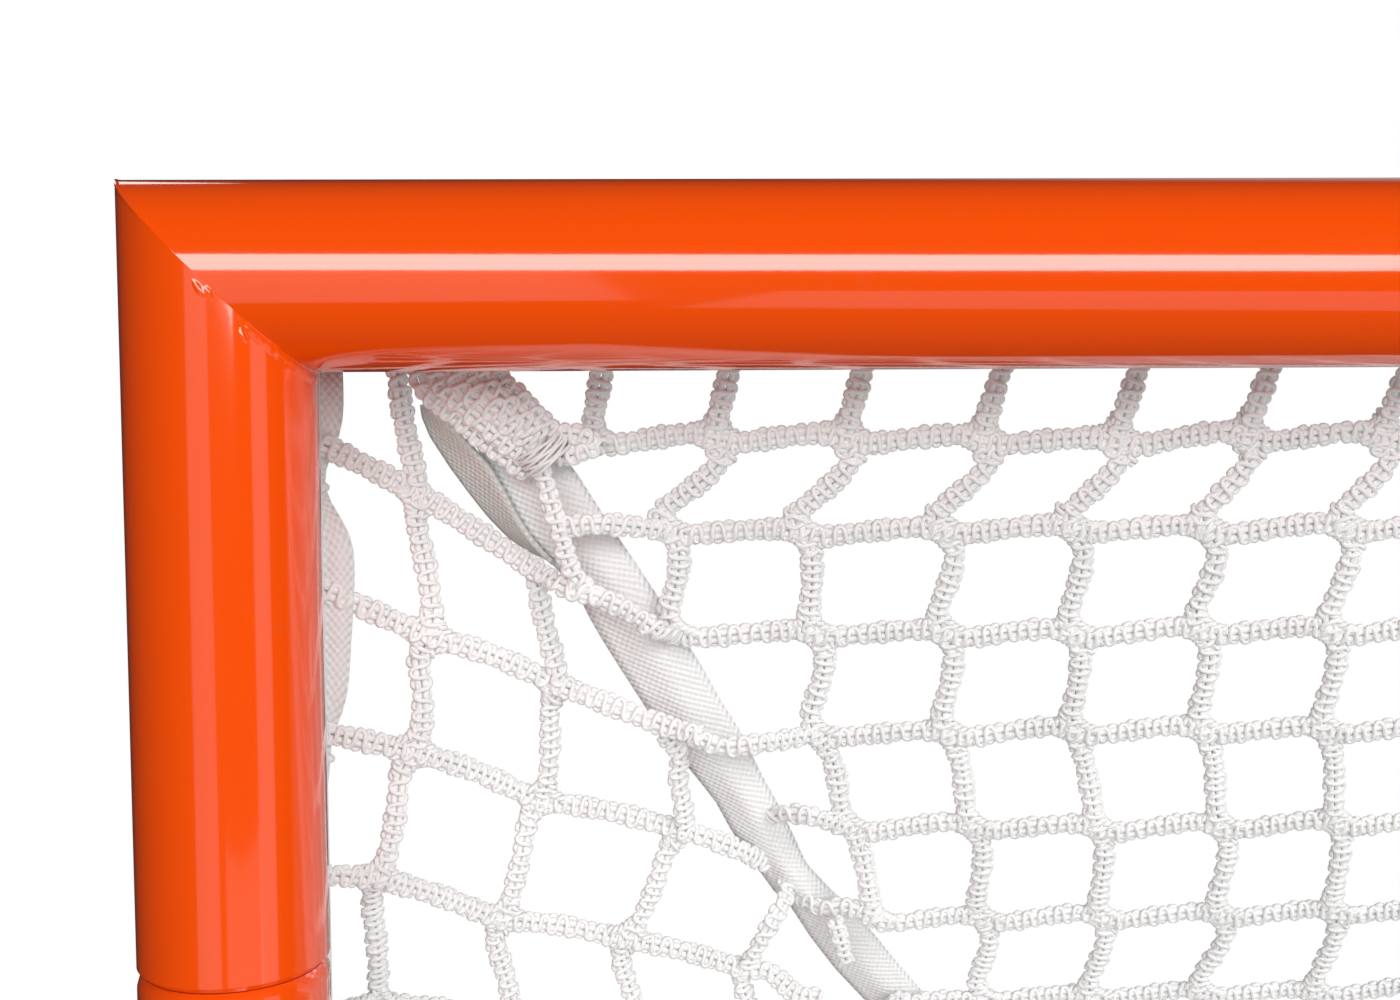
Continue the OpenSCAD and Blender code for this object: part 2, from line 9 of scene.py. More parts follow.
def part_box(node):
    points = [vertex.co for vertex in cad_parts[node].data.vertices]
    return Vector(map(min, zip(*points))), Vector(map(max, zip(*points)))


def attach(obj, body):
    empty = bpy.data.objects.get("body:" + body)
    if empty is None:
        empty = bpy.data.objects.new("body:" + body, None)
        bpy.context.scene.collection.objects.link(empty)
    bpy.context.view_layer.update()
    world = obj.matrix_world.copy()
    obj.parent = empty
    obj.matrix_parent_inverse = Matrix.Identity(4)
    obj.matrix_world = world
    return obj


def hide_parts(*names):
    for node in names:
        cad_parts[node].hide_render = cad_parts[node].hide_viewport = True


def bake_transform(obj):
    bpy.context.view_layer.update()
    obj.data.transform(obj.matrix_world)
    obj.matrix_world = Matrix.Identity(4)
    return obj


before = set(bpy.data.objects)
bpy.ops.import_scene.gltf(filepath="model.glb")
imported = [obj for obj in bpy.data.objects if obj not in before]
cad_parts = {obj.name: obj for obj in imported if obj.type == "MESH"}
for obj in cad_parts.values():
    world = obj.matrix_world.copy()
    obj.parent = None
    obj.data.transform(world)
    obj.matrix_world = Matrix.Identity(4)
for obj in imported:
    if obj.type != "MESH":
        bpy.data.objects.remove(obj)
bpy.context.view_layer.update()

# ---------------------------------------------------------------- painted steel
# Mouth tubes, flat ground bars, lacing rods, pins and welds. Mild steel, welded, then sprayed with
# a thick glossy orange that stays a little uneven: fine orange peel, with long soft waves under it.
ORANGE = (0.920, 0.078, 0.0005)
DUSTY = (0.30, 0.13, 0.07)


def add_node(tree, kind, values=None):
    """A new shader node, with its named inputs set."""
    node = tree.nodes.new("ShaderNode" + kind)
    for socket, value in (values or {}).items():
        node.inputs[socket].default_value = value
    return node


def worked_out(tree, operation, *given):
    """The result of a new maths node, fed with numbers and other nodes' outputs."""
    step = add_node(tree, "Math")
    step.operation = operation
    for value, socket in zip(given, step.inputs):
        if isinstance(value, float):
            socket.default_value = value
        else:
            tree.links.new(value, socket)
    return step.outputs[0]


def new_group(name, inputs, outputs):
    """A node group and its two end nodes. inputs is a list of (socket, kind, value)."""
    group = bpy.data.node_groups.new(name, "ShaderNodeTree")
    for socket, kind, value in inputs:
        made = group.interface.new_socket(socket, in_out="INPUT", socket_type="NodeSocket" + kind)
        if value is not None:
            made.default_value = value
    for socket in outputs:
        group.interface.new_socket(socket, in_out="OUTPUT", socket_type="NodeSocketFloat")
    return group, group.nodes.new("NodeGroupInput"), group.nodes.new("NodeGroupOutput")


def new_material(name, looks):
    """A material and its node tree, with the named inputs of its Principled shader set."""
    material = bpy.data.materials.new(name)
    material.use_nodes = True
    shader = material.node_tree.nodes["Principled BSDF"]
    for socket, value in looks.items():
        shader.inputs[socket].default_value = value
    return material, material.node_tree


def add_bump(tree, height, strength, distance):
    bump = add_node(tree, "Bump", {"Strength": strength, "Distance": distance})
    tree.links.new(height, bump.inputs["Height"])
    tree.links.new(bump.outputs["Normal"], tree.nodes["Principled BSDF"].inputs["Normal"])


def mix_colour(tree, factor, low, high):
    mix = add_node(tree, "Mix")
    mix.data_type = "RGBA"
    mix.inputs["A"].default_value = low + (1,)
    mix.inputs["B"].default_value = high + (1,)
    tree.links.new(factor, mix.inputs["Factor"])
    tree.links.new(mix.outputs["Result"], tree.nodes["Principled BSDF"].inputs["Base Color"])


def vary_roughness(tree, factor, low, high):
    rough = add_node(tree, "MapRange", {"To Min": low, "To Max": high})
    tree.links.new(factor, rough.inputs["Value"])
    tree.links.new(rough.outputs["Result"], tree.nodes["Principled BSDF"].inputs["Roughness"])


def orange_peel_group():
    """The height of the paint's waves and peel, and the specks of dust on it."""
    group, given, result = new_group("orange_peel", [
        ("Position", "Vector", None), ("Fine Scale", "Float", 900), ("Wave Scale", "Float", 14),
        ("Dust", "Float", 0.0)], ["Height", "Speck"])
    fine = add_node(group, "TexNoise", {"Detail": 1.0})
    wave = add_node(group, "TexNoise", {"Detail": 2.0})
    dust = add_node(group, "TexNoise", {"Scale": 260.0})
    for texture in (fine, wave, dust):
        group.links.new(given.outputs["Position"], texture.inputs["Vector"])
    group.links.new(given.outputs["Fine Scale"], fine.inputs["Scale"])
    group.links.new(given.outputs["Wave Scale"], wave.inputs["Scale"])
    peel = worked_out(group, "MULTIPLY", fine.outputs["Fac"], 0.05)
    height = worked_out(group, "ADD", peel, wave.outputs["Fac"])
    group.links.new(height, result.inputs["Height"])
    grain = add_node(group, "MapRange", {"From Min": 0.66, "From Max": 0.74})
    group.links.new(dust.outputs["Fac"], grain.inputs["Value"])
    speck = worked_out(group, "MULTIPLY", grain.outputs["Result"], given.outputs["Dust"])
    group.links.new(speck, result.inputs["Speck"])
    return group


orange_peel = orange_peel_group()


def orange_paint(name, dust, wave_height):
    paint, tree = new_material(name, {
        "Base Color": ORANGE + (1,), "Coat Weight": 1.0, "Coat Roughness": 0.06, "Coat IOR": 1.6})
    place = add_node(tree, "TexCoord")
    peel = add_node(tree, "Group")
    peel.node_tree = orange_peel
    peel.inputs["Dust"].default_value = dust
    tree.links.new(place.outputs["Object"], peel.inputs["Position"])
    add_bump(tree, peel.outputs["Height"], 0.35, wave_height)
    mix_colour(tree, peel.outputs["Speck"], ORANGE, DUSTY)
    vary_roughness(tree, peel.outputs["Speck"], 0.12, 0.60)
    return paint


def finish_nodes(material, *names):
    for name in names:
        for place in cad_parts[name].material_slots:
            place.material = material


def both(name):
    return "left_" + name, "right_" + name


mouth_paint = orange_paint("mouth_paint", 0.05, 0.0006)
finish_nodes(mouth_paint, "crossbar", *both("corner_leg"), *both("post"), *both("lock_nut"))
rod_paint = orange_paint("rod_paint", 0.25, 0.0003)
finish_nodes(rod_paint, "crossbar_rod", "crossbar_rod_pins", *both("leg_rod"), "leg_rod_pins",
             *both("post_rod"), "post_rod_pins", *both("ground_rod"), "ground_rod_pins")
ground_paint = orange_paint("ground_paint", 0.8, 0.0005)
finish_nodes(ground_paint, *both("ground_bar"), *both("foot_weld"), "apex_plate")

# ---------------------------------------------------------------- corner welds
# A TIG bead round the mitre of each top corner, ground nearly flush before painting. What is left
# is a low uneven ridge with a few lumps where the rod stopped, and a rippled band below them.
bar_low, bar_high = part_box("crossbar")
tube_r = (bar_high.z - bar_low.z) / 2
post_x = bar_high.x - tube_r
bar_z = bar_high.z - tube_r
front_y = (bar_high.y + bar_low.y) / 2
sides = ((-1, "left"), (1, "right"))
BEAD_THICK = 0.0006
# Round the tube, in radians from its outer side: how far the ridge stands high, where the band
# below it starts, and where the back begins, on which the bead stands high again
RIDGE_TO, BAND_FROM, BACK_FROM = 1.02, 2.07, 3.3
# lumps in the bead: where round the tube, how far past the mitre, length, width and height
bead_stops = [(1.64, -2.9, 0.050, 1.3, 0.45), (1.74, -1.3, 0.035, 0.8, 0.35),
              (2.06, -4.5, 0.030, 1.2, 0.40), (2.62, -1.2, 0.030, 0.8, 0.30),
              (4.10, 0.5, 0.050, 0.8, 0.40), (5.20, -0.4, 0.050, 0.8, 0.35)]


def to_goal(points, side):
    """From millimetres off a top corner to metres in the goal, on the left (-1) or right (1)."""
    p = np.asarray(points, float) / 1000
    return np.stack([side * (post_x - p[..., 0]), front_y + p[..., 1], bar_z + p[..., 2]], -1)


def by_mitre(turn, past, rise):
    """A spot near the mitre, in millimetres: past it along the bar, or down the leg if below 0."""
    r = 1000 * tube_r + rise
    return max(past, 0) - r * math.cos(turn), -r * math.sin(turn), r * math.cos(turn) + min(past, 0)


def bead_rise(turn, past):
    """How far the bead stands off the tubes, in millimetres, at a spot by the mitre."""
    rough = noise.noise(Vector((7 * math.cos(turn), 7 * math.sin(turn), 0.5 * past)))
    left = 1 / (1 + math.exp((turn - RIDGE_TO) / 0.05)) if turn < BACK_FROM else 1
    ridge = (0.03 + 0.30 * left + 0.05 * rough) * math.exp(-((past + 0.3) / 1.0) ** 2)
    stops = sum(high * math.exp(-((turn - at) / long) ** 2 - ((past - aside) / wide) ** 2)
                for at, aside, long, wide, high in bead_stops)
    lower = 1 / (1 + math.exp((BAND_FROM - turn) / 0.03)) if turn < BACK_FROM else 0
    band = lower * (0.40 + 0.08 * math.sin(60 * turn)) * math.exp(-((past + 1.7) / 1.2) ** 2)
    return ridge + stops + band - 0.10


def strip_mesh(name, spots, thickness, finish):
    """A strip laid through rows of spots, then given its thickness. Its UV map is in metres, along
    and across it. A strip that ends on its first row becomes a ring."""
    spots = np.asarray(spots, float)
    count, wide = spots.shape[:2]
    middle = spots[:, wide // 2]
    ahead = np.gradient(middle, axis=0)
    ahead /= np.linalg.norm(ahead, axis=1)[:, None]
    at = np.concatenate([[0], np.cumsum(np.linalg.norm(np.diff(middle, axis=0), axis=1))])
    aside = spots - middle[:, None]
    skew = (aside * ahead[:, None]).sum(2)
    across = np.linalg.norm(aside - skew[..., None] * ahead[:, None], axis=2)
    across[:, :wide // 2] *= -1
    bm = bmesh.new()
    threads = bm.loops.layers.uv.new("UVMap")
    bmesh.ops.create_grid(bm, x_segments=count - 1, y_segments=wide - 1, size=1)
    reach = max(vert.co.x for vert in bm.verts)
    laid = {}
    for vert in bm.verts:
        i, k = (round((c / reach + 1) / 2 * (n - 1))
                for c, n in ((vert.co.x, count), (vert.co.y, wide)))
        laid[vert] = at[i] + skew[i, k], across[i, k]
        vert.co = spots[i, k]
    for face in bm.faces:
        face.smooth = True
        for loop in face.loops:
            loop[threads].uv = laid[loop.vert]
    bmesh.ops.remove_doubles(bm, verts=bm.verts[:], dist=1e-6)
    bmesh.ops.recalc_face_normals(bm, faces=bm.faces[:])
    bmesh.ops.solidify(bm, geom=bm.faces[:], thickness=thickness)
    bmesh.ops.recalc_face_normals(bm, faces=bm.faces[:])
    mesh = bpy.data.meshes.new(name)
    bm.to_mesh(mesh)
    bm.free()
    mesh.materials.append(finish)
    piece = bpy.data.objects.new(name, mesh)
    bpy.context.collection.objects.link(piece)
    return piece


turns = np.linspace(0, math.tau, 421)
pasts = np.linspace(-6.4, 3.2, 25)
bead = [[by_mitre(turn, past, bead_rise(turn, past)) for past in pasts] for turn in turns]
for side, word in sides:
    piece = strip_mesh(word + "_weld_bead", to_goal(bead, side), BEAD_THICK, mouth_paint)
    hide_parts(word + "_corner_weld")
    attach(piece, "top_frame")

# ---------------------------------------------------------------- screws, bolts and washers
# Zinc-plated lock screws behind the corners and bolts at the apex. Stock hex hardware, turned or
# pressed, with a slightly mottled plating.


def ramp_colour(tree, factor, low, high):
    ramp = add_node(tree, "ValToRGB")
    for element, position, colour in zip(ramp.color_ramp.elements, (0.3, 0.7), (low, high)):
        element.position = position
        element.color = colour + (1,)
    tree.links.new(factor, ramp.inputs["Fac"])
    tree.links.new(ramp.outputs["Color"], tree.nodes["Principled BSDF"].inputs["Base Color"])


def plain_steel(name, colour, rough_low, rough_high, grain):
    steel, tree = new_material(name, {"Metallic": 1.0})
    place = add_node(tree, "TexCoord")
    mottle = add_node(tree, "TexNoise", {"Scale": grain, "Detail": 4.0})
    tree.links.new(place.outputs["Object"], mottle.inputs["Vector"])
    ramp_colour(tree, mottle.outputs["Fac"], tuple(0.75 * c for c in colour), colour)
    vary_roughness(tree, mottle.outputs["Fac"], rough_low, rough_high)
    add_bump(tree, mottle.outputs["Fac"], 0.2, 0.0001)
    return steel


zinc_plate = plain_steel("zinc_plate", (0.72, 0.71, 0.67), 0.22, 0.42, 420)
finish_nodes(zinc_plate, *both("lock_screw"), "apex_bolts", "apex_washers")

# ---------------------------------------------------------------- slip joints
# Drawn tube welded into each lower post, over which the corner leg slides. It is left bare, so it
# shows dull grey with rub marks when the mouth is lifted off.
drawn_steel = plain_steel("drawn_steel", (0.50, 0.49, 0.47), 0.30, 0.55, 60)
finish_nodes(drawn_steel, *both("spigot"), *both("spigot_weld"))

# ---------------------------------------------------------------- hem webbing
# Woven white polyester webbing, 25 mm wide, along the crossbar, posts and ground rods. Every second
# mesh a tie pinches it against its rod, and between two ties it bows out and curls a little.
MESH = 38.1                    # in millimetres, as are the lengths below
TIE_PITCH = 2 * MESH
ROD_BACK = 35.15               # tube axis back to the lacing rods
ROD_OUT = 8                    # and outward to them
GOAL_DEPTH = 2134
WEBBING_THICK = 0.0014         # in metres
LEAN = math.atan2(post_x, GOAL_DEPTH / 1000)     # ground bars from straight back
along_bar = np.array((math.sin(LEAN), math.cos(LEAN), 0))


def weave_group():
    """Rows of small raised threads in two crossing directions, for the webbing."""
    group, given, result = new_group("plain_weave", [
        ("Along", "Float", None), ("Across", "Float", None), ("Along Pitch", "Float", 0.0025),
        ("Across Pitch", "Float", 0.0022)], ["Height"])
    waves = []
    for name in ("Along", "Across"):
        turns = worked_out(group, "DIVIDE", given.outputs[name], given.outputs[name + " Pitch"])
        waves.append(worked_out(group, "SINE", worked_out(group, "MULTIPLY", turns, math.tau)))
    cross = worked_out(group, "MULTIPLY", *waves)
    up = add_node(group, "MapRange", {"From Min": -1.0})
    group.links.new(cross, up.inputs["Value"])
    group.links.new(up.outputs["Result"], result.inputs["Height"])
    return group


plain_weave = weave_group()


def woven_webbing(name, light, weave_hollow_shade):
    cloth, tree = new_material(name, {
        "Roughness": 0.5, "Sheen Weight": 0.25, "Sheen Roughness": 0.4})
    threads = add_node(tree, "UVMap")
    threads.uv_map = "UVMap"
    split = add_node(tree, "SeparateXYZ")
    tree.links.new(threads.outputs["UV"], split.inputs["Vector"])
    weave = add_node(tree, "Group")
    weave.node_tree = plain_weave
    tree.links.new(split.outputs["X"], weave.inputs["Along"])
    tree.links.new(split.outputs["Y"], weave.inputs["Across"])
    add_bump(tree, weave.outputs["Height"], 0.6, 0.0006)
    # Base colour: the webbing's own white on the raised threads, darker in the hollows between
    # them, which is painted shade.
    mix_colour(tree, weave.outputs["Height"], weave_hollow_shade, light)
    return cloth


# Own white of the webbing, then the painted shade of its weave's hollows.
hem_cloth = woven_webbing("hem_cloth", (0.93, 0.925, 0.92), (0.76, 0.755, 0.75))


HEM_STEP = 4.5
TIE_GRIP = 12                  # how far from a tie the hem is pinched


def hem_spots(rod, along, across, length, ties, slack, seed):
    """Rows of five spots down a hem, in millimetres. rod is where its rod's axis would start, and
    slack says how far the hem strays from it between two ties, as (up to here, so far)."""
    out = np.cross(along, across)
    rows = []
    for s in np.linspace(0, length, round(length / HEM_STEP) + 1):
        pinch = min(1, sum(math.exp(-((s - tie) / TIE_GRIP) ** 2) for tie in ties))
        uneven = noise.noise(Vector((s / 60, seed, 0)))
        loose = (1 - pinch) * (0.78 + 0.5 * uneven)
        far = next(much for until, much in slack if s <= until) * loose
        middle = rod + along * s + across * (15 + far) + out * (0.9 * uneven)
        width = 22 + 3 * loose
        rows.append([middle + across * (e * width)
                     + out * (loose * (2.4 * (1 - 4 * e * e) - 2.5 * uneven * e))
                     for e in (-0.5, -0.25, 0.0, 0.25, 0.5)])
    return np.array(rows)


FOOT_CORD_UP = 57.1            # floor to the net's border cord along the ground
GROUND_ROD_UP = 21             # floor to the axis of the ground rods
FIRST_LEG_TIE, FIRST_POST_TIE = -54, -219        # up from the crossbar's axis
foot_up = FOOT_CORD_UP - 1000 * bar_z
down, inward = np.array((0.0, 0, -1)), np.array((1.0, 0, 0))
low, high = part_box("crossbar_webbing")
bar_half = 500 * (high.x - low.x)
low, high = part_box("left_leg_webbing")
leg_top, leg_low = (1000 * (v.z - bar_z) for v in (high, low))
low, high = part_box("left_post_webbing")
post_top, post_low = (1000 * (v.z - bar_z) for v in (high, low))
ground_from, ground_to = 34.0, 1000 * post_x / math.sin(LEAN) - 96
beside_bar = 9 * np.array((math.cos(LEAN), -math.sin(LEAN), 0))
bar_ties = [bar_half + TIE_PITCH * i for i in range(-11, 12)]
leg_ties = [abs(FIRST_LEG_TIE - TIE_PITCH * i - leg_top) for i in range(2)]
post_ties = [abs(FIRST_POST_TIE - TIE_PITCH * i - post_top) for i in range(21)]
ground_ties = [48 + TIE_PITCH * i for i in range(27)]
# rod's start, direction along it, direction to the net, length, ties, slack
bar_run = (np.array((1000 * post_x - bar_half, ROD_BACK, ROD_OUT)), inward, down, 2 * bar_half,
           bar_ties, [(math.inf, 2)])
leg_run = (np.array((-ROD_OUT, ROD_BACK, leg_top)), down, inward, leg_top - leg_low, leg_ties,
           [(leg_ties[0], 7), (leg_ties[1], 10), (math.inf, -4)])
post_run = (np.array((-ROD_OUT, ROD_BACK, post_top)), down, inward, post_top - post_low,
            post_ties, [(post_ties[0], -4), (math.inf, 5)])
ground_run = (along_bar * ground_from + beside_bar + (0, 0, GROUND_ROD_UP - 1000 * bar_z),
              along_bar, -down, ground_to - ground_from, ground_ties, [(math.inf, 5)])
hems = [("crossbar", bar_run, -1, "top_frame", 5.3)]
for side, word in sides:
    hems += [(word + "_leg", leg_run, side, "top_frame", 0.4 + side),
             (word + "_post", post_run, side, "ground_frame", 2.7 + side),
             (word + "_ground", ground_run, side, "ground_frame", 8.1 + side)]
for name, run, side, body, seed in hems:
    node = name + "_webbing"
    spots = to_goal(hem_spots(*run, seed), side)
    hem = strip_mesh(name + "_hem", spots, WEBBING_THICK, hem_cloth)
    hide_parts(node)
    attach(hem, body)

# ---------------------------------------------------------------- lacing
# White three-ply twine. Each tie goes twice round the rod and the hem, is pulled tight, and is
# finished with a hitch on the side away from the net.
TWINE_RADIUS = 0.00120


def curve_mesh(name, runs, radius, finish):
    """One mesh of round cords. runs is a list of (points, widths), widths as shares of radius."""
    data = bpy.data.curves.new(name, "CURVE")
    data.dimensions = "3D"
    data.bevel_depth = radius
    data.bevel_resolution = 1
    data.use_fill_caps = True
    data.resolution_u = 1
    for points, widths in runs:
        spline = data.splines.new("POLY")
        spline.points.add(len(points) - 1)
        flat = np.ones((len(points), 4), np.float32)
        flat[:, :3] = points
        spline.points.foreach_set("co", flat.ravel())
        shares = np.broadcast_to(np.asarray(widths, np.float32), len(points))
        spline.points.foreach_set("radius", shares.copy())
        spline.use_smooth = True
    drawn = bpy.data.objects.new(name + "_path", data)
    bpy.context.collection.objects.link(drawn)
    bpy.context.view_layer.update()
    made = drawn.evaluated_get(bpy.context.evaluated_depsgraph_get())
    mesh = bpy.data.meshes.new_from_object(made)
    bpy.data.objects.remove(drawn)
    bpy.data.curves.remove(data)
    mesh.name = name
    mesh.materials.clear()
    mesh.materials.append(finish)
    mesh.polygons.foreach_set("use_smooth", np.ones(len(mesh.polygons), bool))
    piece = bpy.data.objects.new(name, mesh)
    bpy.context.collection.objects.link(piece)
    return piece


def cord_material(name, pale, soiled, roughness, grain):
    cord, tree = new_material(name, {"Roughness": roughness, "Sheen Weight": 0.2})
    place = add_node(tree, "TexCoord")
    yarn = add_node(tree, "TexNoise", {"Scale": grain, "Detail": 2.0})
    soil = add_node(tree, "TexNoise", {"Scale": 35, "Detail": 3.0})
    for texture in (yarn, soil):
        tree.links.new(place.outputs["Object"], texture.inputs["Vector"])
    ramp_colour(tree, soil.outputs["Fac"], soiled, pale)
    add_bump(tree, yarn.outputs["Fac"], 0.6, 0.0004)
    return cord


lacing_twine = cord_material("lacing_twine", (0.92, 0.92, 0.915), (0.82, 0.82, 0.815), 0.40, 1400)


def tie_lines(rod, along, across, shift):
    """The two turns of a tie and its hitch, in millimetres."""
    out = np.cross(along, across)
    turns = []
    for k in range(41):
        turn = math.tau * k / 20
        c = math.cos(turn)
        turns.append(rod + across * (10.5 - 16 * c) + out * (math.sin(turn) * (5.5 + 2.9 * c))
                     + along * (1.5 * math.cos(turn / 2) + shift))
    hitch = [rod + across * (12 + 0.8 * math.sin(2.1 * a)) - out * (4.2 + 2.1 * math.cos(a))
             + along * (2.8 * math.sin(a) + shift) for a in np.linspace(0, 3.2 * math.pi, 17)]
    hitch += [hitch[-1] + along * 2.5 + across * 2, hitch[-1] + along * 4 + across * 6]
    return [turns, hitch]


def all_ties(run, side, seed):
    rod, along, across, _, places, _ = run
    roll = random.Random(seed)
    return [(to_goal(line, side), 1.0) for s in places
            for line in tie_lines(rod + along * s, along, across, roll.uniform(-1.5, 1.5))]


lacings = [("crossbar", [(bar_run, -1)], "top_frame"),
           ("leg", [(leg_run, -1), (leg_run, 1)], "top_frame")]
lacings += [(f"{word}_{part}", [(run, side)], "ground_frame")
            for part, run in (("post", post_run), ("ground", ground_run)) for side, word in sides]
for name, sets, body in lacings:
    node = name + "_ties"
    ties = [line for run, side in sets for line in all_ties(run, side, 3 + side)]
    lacing = curve_mesh(name + "_lacing", ties, TWINE_RADIUS, lacing_twine)
    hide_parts(node)
    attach(lacing, body)

# ---------------------------------------------------------------- net
# Knotless white cord net of about one and a half inch mesh, warp knitted: in every cord two yarns
# wind from edge to edge round two straight ones, and cords share their yarns at a knot. One panel
# runs back from the crossbar, one from each post, and they hang a little slack.
CORD = 3.25                    # half width of a cord, in millimetres
YARN_RADIUS = 0.00122
YARN_SHARE = 0.62              # share of it that a winding yarn is thick
LOOP = 5.8                     # length in which a yarn crosses the cord and comes back
HEM_EDGE = 24.6                # tube axis to where the panels start
half_mouth = post_x * 1000     # centre of the goal to a post's axis
net_cord_white = cord_material("net_cord_white", (0.94, 0.945, 0.94), (0.85, 0.855, 0.85), 0.36,
                               1500)

# The seam from the top corner to the apex, in millimetres inboard, back and up from the corner
seam_b0 = np.array((48, ROD_BACK, -HEM_EDGE))
seam_b3 = np.array((half_mouth - 18, GOAL_DEPTH - 66, foot_up))
seam_b1 = seam_b0 + (486, 176, -653)
seam_b2 = seam_b3 - (305, 824, -573)
share = np.linspace(0, 1, 4001)[:, None]
seam_line = ((1 - share) ** 3 * seam_b0 + 3 * share * (1 - share) ** 2 * seam_b1
             + 3 * share ** 2 * (1 - share) * seam_b2 + share ** 3 * seam_b3)


def run_length(points):
    return np.concatenate([[0], np.cumsum(np.linalg.norm(np.diff(points, axis=0), axis=1))])


seam_at = run_length(seam_line)
drop_at = run_length(seam_line[:, 1:])      # length down the slope of the top panel


def seam_point(length):
    return np.array([np.interp(length, seam_at, seam_line[:, i]) for i in range(3)])


def top_point(inboard, drop):
    back, up = (np.interp(drop, drop_at, seam_line[:, i]) for i in (1, 2))
    return np.array([inboard, back, up])


def seam_length_at(drop):
    return np.interp(drop, drop_at, seam_at)


# Rows of the top panel: distance down its slope, how far a row is drawn inboard, and how much more
# its last knots by the seam are
row_drops = [19.5, 47.0, 81.0, 116.0, 153.0, 191.8]
row_lean = {1: 5.5, 2: -1.5, 3: 1.5, 4: 5, 5: 16.5, 6: 23, 7: 25, 8: 24, 9: 21}
OTHER_ROWS_LEAN = 16
row_squeeze = {1: 9}
while row_drops[-1] < drop_at[-1] - 70:
    row_drops.append(row_drops[-1] + MESH)
columns = range(0, 24)
column_pitch = 39.2
SQUEEZED_FROM = 16             # column past which the last knots are drawn together
GATHERED_FROM = 20             # column from which the cords do not run on to the seam
sway = random.Random(11)
knots = {}
for row, drop in enumerate(row_drops, 1):
    edge = np.interp(drop, drop_at, seam_line[:, 0])
    for column in columns:
        inboard = half_mouth - column_pitch * column
        squeeze = row_squeeze.get(row, 0) * (max(0, column - SQUEEZED_FROM) / 6) ** 2
        lean = row_lean.get(row, OTHER_ROWS_LEAN) * min(1, column / SQUEEZED_FROM) + squeeze
        jog = sway.uniform(-1.2, 1.2), sway.uniform(-0.9, 0.9)
        if inboard + lean > edge + 9:
            knots[row, column] = top_point(inboard + lean + jog[0] * bool(column), drop + jog[1])
# and one that lies on the webbing
knots[6, 20] = np.array((180.5, 97.0, -200.4))

side_rows = 44
SIDE_FROM, SIDE_TO = 73, 12    # length of seam above the side panel's first row and below its last
seam_step = (seam_at[-1] - SIDE_FROM - SIDE_TO) / (side_rows - 1)
hem_step = (-foot_up - 43) / (side_rows - 1)


def hem_point(row):
    return np.array((15, 32, -41.5 - (row - 1) * hem_step))


def side_seam(row):
    return seam_point(SIDE_FROM + (row - 1) * seam_step)


# Knots of the side panels by the corner, where the net is stretched out of true
stretched = {(1, 1): (43.3, 44, -58.2), (2, 1): (45.1, 46, -98.9), (2, 2): (81, 62, -116.2),
             (3, 1): (39.4, 48, -132.5), (3, 2): (73.5, 76, -154.5), (3, 3): (118.2, 82, -165.9),
             (4, 1): (28.7, 46, -169.0), (4, 2): (60.5, 80, -193), (4, 3): (99, 90, -203),
             (4, 4): (138, 100, -217)}
drawn_in = {5: -12, 6: -9, 7: -6, 8: -4, 9: -2}
side_knots = {}
for row in range(1, side_rows + 1):
    start, end = hem_point(row), side_seam(row)
    for i in range(1, row + 1):
        part = i / (row + 1)
        bulge = 42 * (1 - row / (side_rows + 1)) * (1 - part)
        jog = np.array([sway.uniform(-1.2, 1.2) for _ in range(3)]) * (0 if row == side_rows else 1)
        spot = start + (end - start) * part + bulge * np.array((-0.6, 0.8, 0)) + jog
        spot[0] += drawn_in.get(row, 0) * (1 - part)
        side_knots[row, i] = np.array(stretched.get((row, i), spot), float)


def eased(points, step):
    """A smooth curve through points, in even steps of about this length."""
    points = np.asarray(points, float)
    padded = np.vstack([2 * points[0] - points[1], points, 2 * points[-1] - points[-2]])
    t = np.linspace(0, 1, 13)[:-1, None]
    out = []
    for a, b, c, d in zip(padded, padded[1:], padded[2:], padded[3:]):
        out.append(0.5 * (2 * b + (c - a) * t + (2 * a - 5 * b + 4 * c - d) * t ** 2
                          + (3 * b - a - 3 * c + d) * t ** 3))
    out = np.vstack(out + [points[-1:]])
    at = run_length(out)
    steps = max(2, int(at[-1] / step) + 1)
    even = np.linspace(0, at[-1], steps)
    return np.stack([np.interp(even, at, out[:, i]) for i in range(3)], 1)


# How a cord strays from the straight line between two knots: share of the way, then millimetres
LEAVE = 0.18                   # share of the way at which a cord has left its knot
row_bend = [(LEAVE, (0, 0, -1.1)), (0.50, (0, 0, 0.5)), (0.82, (0, 0, 1.6))]
column_bend = [(LEAVE, (3.2, 0, 0)), (0.42, (2.2, 0, 0)), (0.80, (-2.4, 0, 0))]
side_row_bend = [(LEAVE, (0, 0, 0.6)), (0.50, (0, 0, 1.2)), (0.82, (0, 0, 0.4))]
side_column_bend = [(LEAVE, (-2.2, 0.6, 0)), (0.50, (0.2, 0, 0)), (0.82, (1.3, -0.3, 0))]


def upright(part):
    """Share of the way across at a share of the way down: a column leaves its knots upright."""
    return part - 0.16 * math.sin(math.tau * part)


def bent(run, bend):
    """Through a run of (point, is a knot), straying between two knots as bend says."""
    across = upright if bend is column_bend else float
    line = [run[0][0]]
    for (a, a_knot), (b, b_knot) in zip(run, run[1:]):
        if a_knot and b_knot:
            much = sway.uniform(0.65, 1.15)
            line += [a + (b - a) * (across(part), part, part) + much * np.array(stray)
                     for part, stray in bend]
        line.append(b)
    return line


